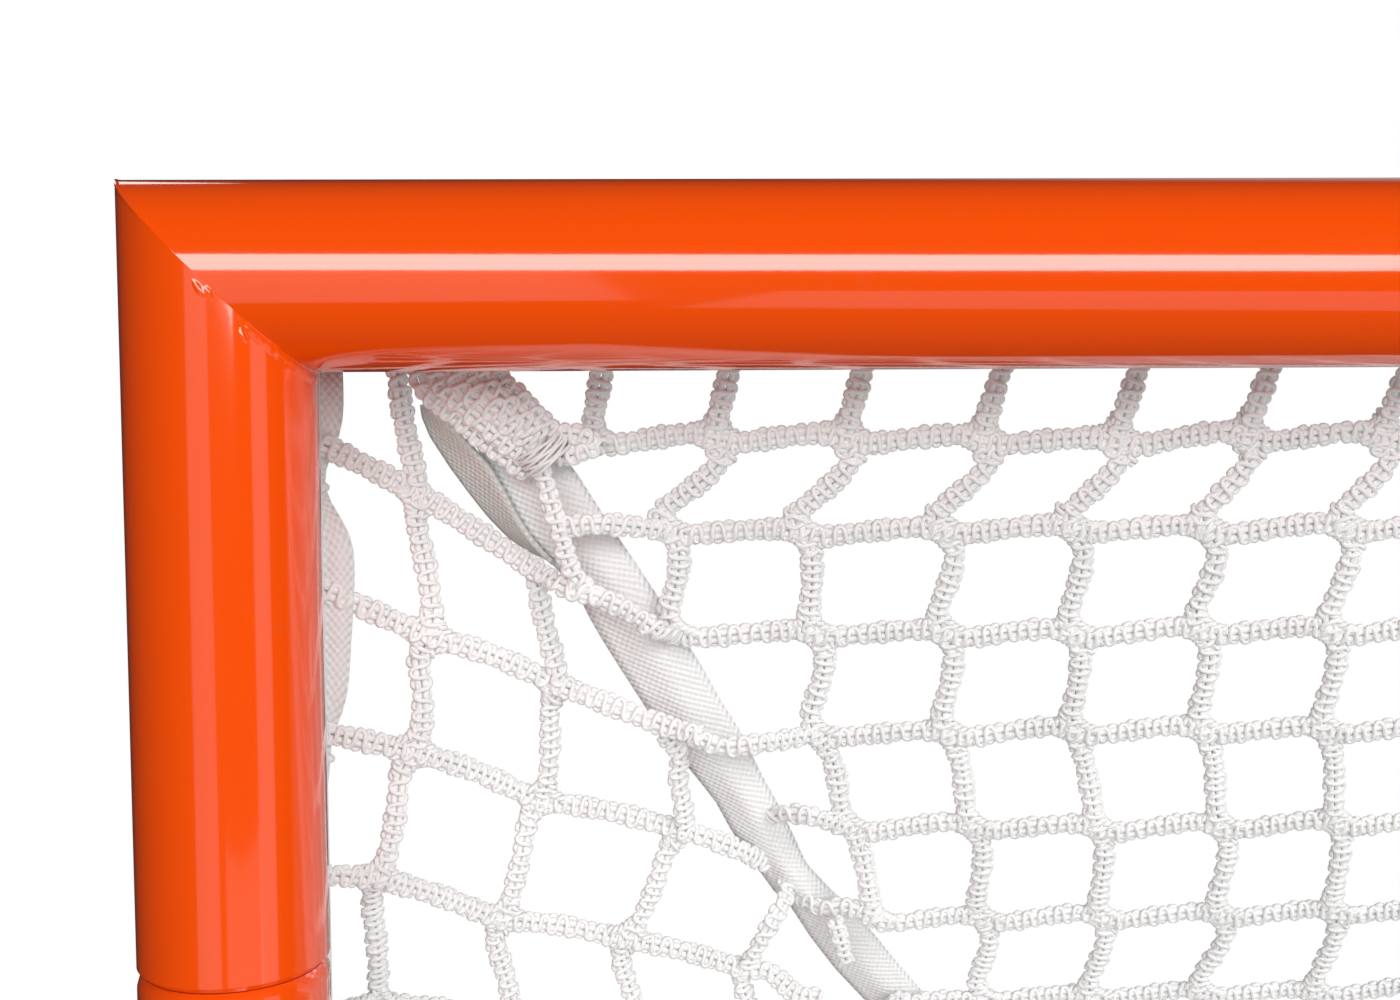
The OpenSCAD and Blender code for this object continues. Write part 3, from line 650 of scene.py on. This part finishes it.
# The cords by the corner that end on the webbing of the seam, or run over it
row_starts = {1: [(80.5, 32.5, -43.4)], 2: [(83, 37.5, -67.2), (95, 37.5, -66.3)],
              3: [(85, 42, -84), (100.9, 42.5, -91), (109.5, 45, -97.2)],
              4: [(118.1, 59, -129.5), (128.5, 61, -135), (141, 62, -134.3)],
              5: [(143.3, 93, -165.5), (149.9, 84, -161.6), (158.9, 81, -162.0)],
              6: [(154.8, 105, -194.0), (162.4, 99, -196.8), (171.3, 97, -196.0)]}
side_ends = {1: [(74.1, 48, -79.3), (84, 42.5, -84.3), (93.9, 42, -87.4)],
             2: [(110.7, 61, -128), (123, 58.5, -131)],
             3: [(136.2, 89, -174.7), (147.6, 102, -184.3)],
             4: [(146, 101, -218.6), (154.2, 101, -225.7), (163.1, 101, -227.5)]}
column_starts = {1: [(38.5, 32, -18), (39.9, 41, -39.7)], 2: [(74.5, 49, -79), (77.2, 56, -97.3)],
                 3: [(112, 64, -131), (116.7, 68, -139), (116.1, 72, -146.1)],
                 4: [(151.0, 103, -187.4), (151.2, 97, -192.0), (145.6, 94, -200.6)]}


def loose_points(points):
    return [(np.array(p, float), False) for p in points]


top_rows, top_columns, side_lines, side_columns = [], [], [], []
for row, drop in enumerate(row_drops, 1):
    chain = [(knots[row, c], True) for c in reversed(columns) if (row, c) in knots]
    if chain:
        start = row_starts.get(row, [seam_point(seam_length_at(drop)) + (-3, -3, 0)])
        top_rows.append(loose_points(start) + chain)
for column in columns:
    rows = [row for row in range(1, len(row_drops) + 1) if (row, column) in knots]
    if not rows:
        continue
    line = [(knots[row, column], True) for row in rows]
    if rows[0] == 1:
        line = loose_points([line[0][0] * (1, 0, 0) + (5.5, 31.5, -17)]) + line
    edge, drop = line[-1][0][0], row_drops[rows[-1] - 1]
    meets = np.interp(edge + 3, seam_line[:, 0], seam_at)
    if column < GATHERED_FROM:
        line += loose_points([seam_point(max(meets, seam_length_at(drop) + 14)) + (0, -3, 0)])
    top_columns.append(line)
for row in range(1, side_rows + 1):
    end = side_ends.get(row, [side_seam(row) + (2, -3, 0)])
    chain = [(side_knots[row, i], True) for i in range(1, row + 1)]
    side_lines.append(loose_points([hem_point(row)]) + chain + loose_points(end))
for i in range(1, side_rows + 1):
    start = column_starts.get(i, [side_seam(i - 1) + (-3, -3, 0)])
    chain = [(side_knots[row, i], True) for row in range(i, side_rows + 1)]
    side_columns.append(loose_points(start) + chain)

NEAR_IN, NEAR_DOWN = 352, -268           # how far inboard and down the cords are knitted


def is_near(point):
    return point[0] < NEAR_IN and point[2] > NEAR_DOWN


def split_line(line):
    """The knitted stretch of a cord, by the corner, and the plain stretches further off."""
    near, far, now, was = [], [], [], None
    for spot in line:
        kind = is_near(spot[0])
        if was is not None and kind != was:
            now.append(spot)
            (near if was else far).append(now)
            now = [spot]
        else:
            now.append(spot)
        was = kind
    if len(now) > 1:
        (near if was else far).append(now)
    return near, far


def cord_frame(path, facing):
    """Unit vectors across a path and out of it towards facing, at every point."""
    along = np.gradient(path, axis=0)
    along /= np.linalg.norm(along, axis=1)[:, None]
    face = facing - (along @ facing)[:, None] * along
    face /= np.linalg.norm(face, axis=1)[:, None]
    return np.cross(face, along), face


def knitted(points, facing, half_wide=2.75):
    """The yarns of a knitted cord as (points, share of a yarn's thickness)."""
    path = eased(points, 0.38)
    wide, face = cord_frame(path, facing)
    at, start = run_length(path), sway.uniform(0, math.tau)
    turn = start + math.tau * at / LOOP + 0.7 * np.sin(0.21 * at + start)
    back = at - 0.46 * np.sin(2 * turn)
    round_path = np.stack([np.interp(back, at, path[:, i]) for i in range(3)], 1)
    over = half_wide * np.sin(turn) * (1 + 0.10 * np.sin(0.37 * turn + start))
    up = 0.35 + 0.95 * np.cos(turn) ** 2
    yarns = [(round_path + front * (wide * over[:, None] + face * up[:, None]), YARN_SHARE)
             for front in (1, -1)]
    for aside in (-1.1, 1.1):
        yarns.append(((path + wide * aside)[::3], 0.9))
    return yarns


def corner_webs(centre, arms, facing):
    """Short pairs of strands that round off the inner corners of a knot."""
    strands = []
    face = facing / np.linalg.norm(facing)
    flat = [a - (a @ face) * face for a in arms]
    angle = [math.atan2(f @ np.cross(face, flat[0]), f @ flat[0]) for f in flat]
    order = sorted(range(len(arms)), key=lambda i: angle[i])
    for i, k in zip(order, order[1:] + order[:1]):
        a, b = arms[i] / np.linalg.norm(arms[i]), arms[k] / np.linalg.norm(arms[k])
        if a @ b < -0.8 or i == k:
            continue
        start, end = centre + a * 8.0 + b * 1.2, centre + b * 8.0 + a * 1.2
        bend = centre + (a + b) * 3.3
        path = eased([start, centre + a * 5.2 + b * 2.5, bend, centre + b * 5.2 + a * 2.5, end],
                     0.6)
        wide, out = cord_frame(path, face)
        phase = math.tau * run_length(path) / 3.9
        for turn in (0, math.pi):
            strands.append((path + wide * (0.95 * np.sin(phase + turn))[:, None]
                            + out * (0.9 * np.cos(phase + turn))[:, None], YARN_SHARE))
    return strands


top_facing = np.array((0.0, -0.94, -0.25))
side_facing = np.array((0.45, -0.85, 0.0))
near_sets = {"rows": [], "columns": [], "side": [], "webs": []}
far_top, far_side = [], []
for lines, key, bend, facing, far in (
        (top_rows, "rows", row_bend, top_facing, far_top),
        (top_columns, "columns", column_bend, top_facing, far_top),
        (side_lines, "side", side_row_bend, side_facing, far_side),
        (side_columns, "side", side_column_bend, side_facing, far_side)):
    for line in lines:
        near, plain = split_line(line)
        for run in near:
            near_sets[key] += knitted(bent(run, bend), facing)
        far += [(run, bend) for run in plain]
# How far a cord has strayed where it has left its knot, by the way to the next knot
top_leaves = {(-1, 0): (-2.4, 0, 0), (1, 0): (3.2, 0, 0), (0, 1): (0, 0, 1.6),
              (0, -1): (0, 0, -1.1)}
side_leaves = {(-1, 0): (1.3, -0.3, 0), (1, 0): (-2.2, 0.6, 0), (0, -1): (0, 0, 0.4),
               (0, 1): (0, 0, 0.6)}
for panel, facing, leaves in ((knots, top_facing, top_leaves),
                              (side_knots, side_facing, side_leaves)):
    for (row, i), knot in panel.items():
        if not is_near(knot):
            continue
        arms = []
        for (down_by, along_by), stray in leaves.items():
            if (row + down_by, i + along_by) in panel:
                way = upright(LEAVE) if panel is knots and down_by else LEAVE
                arms.append((way, LEAVE, LEAVE) * (panel[row + down_by, i + along_by] - knot)
                            + stray)
        if panel is knots and row == 1:
            arms.append(np.array((3.0, 0, 20)))
        if panel is side_knots and i == 1:
            arms.append(hem_point(row) - knot)
        if len(arms) > 1:
            near_sets["webs"] += corner_webs(knot, arms, facing)

# Cords of the top panel drawn together at the seam, and the one that carries on over the webbing
gathered = [
    [(43.2, 33, -17), (45.3, 33, -27), (49, 33.5, -31.3), (54.9, 34, -36.3), (61.4, 35, -42),
     (68.1, 36, -47.6), (74.4, 37, -52)],
    [(47.8, 31.5, -17), (51.1, 31, -27.5), (55.9, 31, -32), (61.3, 31, -37),
     (67.1, 32.5, -42.4), (73.6, 34.5, -47.5)],
    [(52.9, 30, -17), (56.7, 29.5, -27.6), (61.6, 29.5, -32), (66.9, 30, -36.4),
     (72.2, 31.5, -40.8), (77, 33.5, -45)],
    [(56.5, 30, -17), (60.5, 29.5, -27), (64.5, 29, -31), (69.5, 29.5, -35.5),
     (74.5, 31, -40), (78.5, 33, -43.5)],
    [(60.5, 31, -17), (64, 30, -26.2), (68, 29.5, -30.3), (72.5, 30, -34.5),
     (76.5, 31, -38.5), (80, 32.5, -41.5)],
    [(64.5, 32, -17), (67.8, 31.5, -25.7), (71.7, 31, -29.3), (75.5, 31, -33.1),
     (79, 31.5, -37), (82, 32.5, -40.5)],
    [(72, 36, -45.5), (77.8, 34, -49.8), (80.6, 35.5, -59.5), (83.2, 37.5, -69.5),
     (86, 40, -79.2), (92, 42.5, -86.5)],
    [(82, 33.5, -41), (86, 31.5, -40.6), (90.5, 31.5, -41.6), (95, 33.5, -44.2)],
    [(83, 34.5, -47), (87, 32.5, -46.8), (91, 32.5, -45.6), (95, 33.5, -43.6)],
    [(166, 91, -197.9), (168.1, 92, -204.8), (170.4, 95, -213.8)]]
for points in gathered:
    near_sets["webs"] += knitted(points, top_facing, 2.3)


def plain_run(run, bend):
    """A plain cord through its knots, a little thicker in them."""
    in_knot, between = 1.3, 0.96
    line, widths = [run[0][0]], [in_knot]
    for (a, _), (b, _) in zip(run, run[1:]):
        for part, stray in bend:
            line.append(a + (b - a) * part + 0.8 * np.array(stray))
            widths.append(between)
        line.append(b)
        widths.append(in_knot)
    return np.array(line), widths


def net_piece(name, runs, radius, side, node):
    placed = [(to_goal(points, side), widths) for points, widths in runs]
    piece = curve_mesh(name, placed, radius, net_cord_white)
    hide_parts(node)
    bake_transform(piece)


# The border cords lie against the hems
half_bar = [bar_run[0] + inward * s + (0, -3.6, -26) for s in np.linspace(20, bar_half, 30)]
post_border = [np.array((15, ROD_BACK - 3.6, z)) for z in np.linspace(-20, foot_up + 8, 60)]
ground_border = [ground_run[0] + along_bar * s + (3.3, -1.5, 26)
                 for s in np.linspace(-10, ground_to - 60, 60)]
side_runs = [plain_run(*cord) for cord in far_side] + [(post_border, 1.0), (ground_border, 1.0)]
top_runs = [plain_run(*cord) for cord in far_top] + [(half_bar, 1.0)]
for side, word in sides:
    for key, node in (("rows", "net_top"), ("columns", "net_top"), ("side", "net_" + word),
                      ("webs", "net_" + word)):
        net_piece(f"{word}_corner_{key}", near_sets[key], YARN_RADIUS, side, node)
    net_piece(word + "_side_net", side_runs, CORD / 1000, side, "net_" + word)
    net_piece(word + "_top_net", top_runs, CORD / 1000, side, "net_top")

# ---------------------------------------------------------------- seam webbing
# The panels meet on 25 mm webbing that runs from each top corner to the apex, folded lengthwise and
# turning as the net pulls on it. Its top end is doubled and whipped with twine.
# Each cloth below: own white of the webbing, then the painted shade of its weave's hollows.
seam_cloth = woven_webbing("seam_cloth", (0.95, 0.95, 0.945), (0.86, 0.86, 0.855))
# The doubled top end is the same webbing in darker colours: painted shade, for the shade and shadow
# it lies in under the gathered cords.
shaded_end_cloth = woven_webbing("shaded_end_cloth", (0.82, 0.81, 0.78), (0.64, 0.63, 0.60))
# distance down the seam, and the webbing's left and right edges from its line
tape_edges = [(12, 1, 15), (22, -3, 19), (35, -5.5, 19), (45, -7.5, 18), (57, -9.5, 17),
              (68, -8.8, 16.2), (80, -7.5, 15.3), (91, -9.9, 14.3), (101, -11.4, 13.2),
              (110, -12.4, 12.6), (127, -14, 10.2), (139, -15.2, 9.4), (150, -15.8, 7.3),
              (162, -15.4, 5.2), (172, -15.4, 4), (186, -17.4, 1.8), (202, -18.2, -1.3),
              (216, -18.6, 0.5), (224, -17, 2.9), (240, -18, 4), (258, -17.8, 5), (290, -14, 8),
              (340, -12.5, 11)]
end_edges = [(10, -9.5, -7), (14, -11.7, -5.5), (21, -14, -4.2), (32, -15.4, -3.2),
             (42, -15.9, -4.8), (51, -15.9, -6.8), (59, -14.8, -7.6), (65, -11.8, -7.3),
             (68.6, -6.9, -6.6)]
spots_across = np.linspace(-1, 1, 9)


def tape_rows(places, edges, depth_of):
    """Rows of spots down a piece of the seam's webbing, in millimetres."""
    at, left, right = np.array(edges, float).T
    rows = []
    for s in places:
        a, b = np.interp(s, at, left), np.interp(s, at, right)
        middle, half = (a + b) / 2, (b - a) / 2
        flutter = 0.9 * noise.noise(Vector((s / 35, 2.2, 0)))
        rows.append([seam_point(s) + (middle + half * e, depth_of(e, half) + flutter, 0)
                     for e in spots_across])
    return np.array(rows)


def folded_back(e, half):
    """How far back a spot on the folded webbing lies from its fold."""
    return 0.6 + 0.35 * math.sqrt(max(0, 14.5 ** 2 - half ** 2)) * (abs(e) + 0.12) ** 1.3


seam_places = np.concatenate([np.arange(12, 330, 4.0), np.arange(330, seam_at[-1] - 70, 14.0),
                              [seam_at[-1] - 66]])
seam_rows = tape_rows(seam_places, tape_edges, folded_back)
end_rows = tape_rows(np.arange(10, 69, 2.25), end_edges, lambda e, half: 5.5 - 5.0 * e)
WHIPPING_RADIUS = 0.00044
whip_spot = np.array((79, 35, -45))
whip_axis = np.array((0.60, 0.26, -0.75))
whip_across = np.cross(whip_axis, (0, 1, 0))
whip_across /= np.linalg.norm(whip_across)
whip_out = np.cross(whip_across, whip_axis)
whipping = []
for k in range(171):
    turn = math.tau * k / 18
    fray = 1 + 0.06 * noise.noise(Vector((turn, 0, 1)))
    climb = 0.72 * turn / math.tau - 3.4 + 0.5 * math.sin(2.7 * turn)
    whipping.append(whip_spot + whip_axis * climb
                    + fray * (whip_across * 7.8 * math.cos(turn) + whip_out * 7.2 * math.sin(turn)))
for side, word in sides:
    seam = word + "_seam"
    tape = strip_mesh(seam + "_tape", to_goal(seam_rows, side), WEBBING_THICK, seam_cloth)
    tape_end = strip_mesh(seam + "_tape_end", to_goal(end_rows, side), WEBBING_THICK, shaded_end_cloth)
    twine = curve_mesh(seam + "_whipping", [(to_goal(whipping, side), 1.0)], WHIPPING_RADIUS,
                       lacing_twine)
    for piece, slot in ((tape, "webbing"), (tape_end, "webbing"), (twine, "lacing_cord")):
        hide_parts(word + "_seam_webbing")
        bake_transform(piece)

# ---------------------------------------------------------------- studio
# Pale floor that fades into the white at its rim, large soft boxes in front of the goal, weaker
# ones behind it, and a white screen behind on the right that the gloss picks up at its edges.
world = bpy.data.worlds.new("white_surround")
bpy.context.scene.world = world
world.use_nodes = True
sky = world.node_tree
rays = add_node(sky, "LightPath")
heading = add_node(sky, "TexCoord")
screen = add_node(sky, "VectorMath")
screen.operation = "DOT_PRODUCT"
screen.inputs[1].default_value = (0.6, 0.8, -0.05)
sky.links.new(heading.outputs["Generated"], screen.inputs[0])
glow = add_node(sky, "MapRange", {
    "From Min": 0.75, "From Max": 0.92, "To Min": 0.02, "To Max": 0.40})
sky.links.new(screen.outputs["Value"], glow.inputs["Value"])
# white to the camera and to rays let through, the screen's glow to the gloss, dim to all else
white = worked_out(sky, "MAXIMUM", rays.outputs["Is Camera Ray"],
                   rays.outputs["Is Transmission Ray"])
glossy = worked_out(sky, "MULTIPLY", rays.outputs["Is Glossy Ray"], glow.outputs["Result"])
not_glossy = worked_out(sky, "SUBTRACT", 1.0, rays.outputs["Is Glossy Ray"])
dim = worked_out(sky, "MULTIPLY", not_glossy, 0.25)
not_white = worked_out(sky, "SUBTRACT", 1.0, white)
unseen = worked_out(sky, "MULTIPLY", not_white, worked_out(sky, "ADD", glossy, dim))
surround = sky.nodes["Background"]
sky.links.new(worked_out(sky, "ADD", white, unseen), surround.inputs["Strength"])
surround.inputs["Color"].default_value = (1, 1, 1, 1)


def soft_box(name, azimuth, elevation, distance, width, height, radiance, aim, glossy=True):
    """A rectangular light, seen from aim at these angles in degrees, 0 in front of the mouth."""
    light = bpy.data.lights.new(name, "AREA")
    light.shape = "RECTANGLE"
    light.size, light.size_y = width, height
    light.energy = radiance * math.pi * width * height
    lamp = bpy.data.objects.new(name, light)
    bpy.context.collection.objects.link(lamp)
    az, el = math.radians(azimuth), math.radians(elevation)
    out = Vector((math.sin(az) * math.cos(el), -math.cos(az) * math.cos(el), math.sin(el)))
    lamp.location = Vector(aim) + out * distance
    lamp.rotation_euler = out.to_track_quat("Z", "Y").to_euler()
    lamp.visible_camera = False
    lamp.visible_glossy = glossy
    return lamp


corner_spot = to_goal((0, 0, 0), -1)
middle_spot = (0, 0, 0.9)
# azimuth, elevation, distance, width, height, radiance and where it aims
wide_box = soft_box("wide_box", 0, 15.4, 5.2, 5.5, 1.7, 5.6, corner_spot + (0.15, 0, 0))
wide_box.rotation_euler.rotate_axis("Z", math.radians(-7))
soft_box("key_box", 48, 28, 5.0, 2.0, 2.0, 7.4, corner_spot, glossy=False)
soft_box("front_fill", 0, -15, 5.0, 2.0, 2.0, 0.55, corner_spot, glossy=False)
soft_box("low_box", -14, -11, 5.2, 2.4, 3.5, 0.50, corner_spot)
soft_box("low_right_box", 24, -30, 2.6, 1.9, 1.0, 0.45, corner_spot + (0.2, 0, 0))
soft_box("right_strip", 57, -10, 5.2, 1.8, 3.6, 0.60, corner_spot)
soft_box("back_fill", 180, 20, 5.0, 4.0, 3.0, 1.9, middle_spot, glossy=False)
soft_box("back_right_strip", 128, 38, 5.0, 1.6, 2.0, 1.5, middle_spot)
soft_box("back_left_strip", 232, 38, 5.0, 1.6, 2.0, 1.5, middle_spot)

FLOOR_RADIUS = 3.2
floor_bm = bmesh.new()
bmesh.ops.create_circle(floor_bm, cap_ends=True, segments=96, radius=FLOOR_RADIUS)
bmesh.ops.translate(floor_bm, verts=floor_bm.verts[:], vec=(0, 0, -0.0005))
floor_mesh = bpy.data.meshes.new("floor")
floor_bm.to_mesh(floor_mesh)
floor_bm.free()
floor = bpy.data.objects.new("floor", floor_mesh)
bpy.context.collection.objects.link(floor)
pale_floor, tree = new_material("pale_floor", {
    "Base Color": (0.90, 0.90, 0.895, 1), "Roughness": 0.7})
place = add_node(tree, "TexCoord")
far_out = add_node(tree, "VectorMath")
far_out.operation = "LENGTH"
rim = add_node(tree, "MapRange", {"From Min": 1.6, "From Max": 3.15})
rim.interpolation_type = "SMOOTHSTEP"
clear = add_node(tree, "BsdfTransparent")
fade = add_node(tree, "MixShader")
for start, end in ((place.outputs["Object"], far_out.inputs[0]),
                   (far_out.outputs["Value"], rim.inputs["Value"]),
                   (rim.outputs["Result"], fade.inputs["Fac"]),
                   (tree.nodes["Principled BSDF"].outputs["BSDF"], fade.inputs[1]),
                   (clear.outputs["BSDF"], fade.inputs[2]),
                   (fade.outputs["Shader"], tree.nodes["Material Output"].inputs["Surface"])):
    tree.links.new(start, end)
floor_mesh.materials.append(pale_floor)
floor.visible_glossy = False

# ---------------------------------------------------------------- camera
# Close in front of the upper left corner, a little below the crossbar and nearly level.
eye = bpy.data.cameras.new("eye")
eye.lens = 41.0
eye.sensor_width = 36.0
eye.clip_start = 0.01
camera = bpy.data.objects.new("camera", eye)
bpy.context.collection.objects.link(camera)
eye_spot = (111.72, -409.03, -31.47)     # in millimetres off the left corner
yaw, pitch, roll = (math.radians(a) for a in (1.37, -3.62, -0.295))
ahead = Vector((math.sin(yaw) * math.cos(pitch), math.cos(yaw) * math.cos(pitch), math.sin(pitch)))
level = Vector((math.cos(yaw), -math.sin(yaw), 0))
above = level.cross(ahead)
across = level * math.cos(roll) + above * math.sin(roll)
upward = above * math.cos(roll) - level * math.sin(roll)
turned = Matrix((across, upward, -ahead)).transposed().to_4x4()
camera.matrix_world = Matrix.Translation(to_goal(eye_spot, -1)) @ turned
bpy.context.scene.camera = camera
bpy.context.scene.view_settings.view_transform = "Standard"
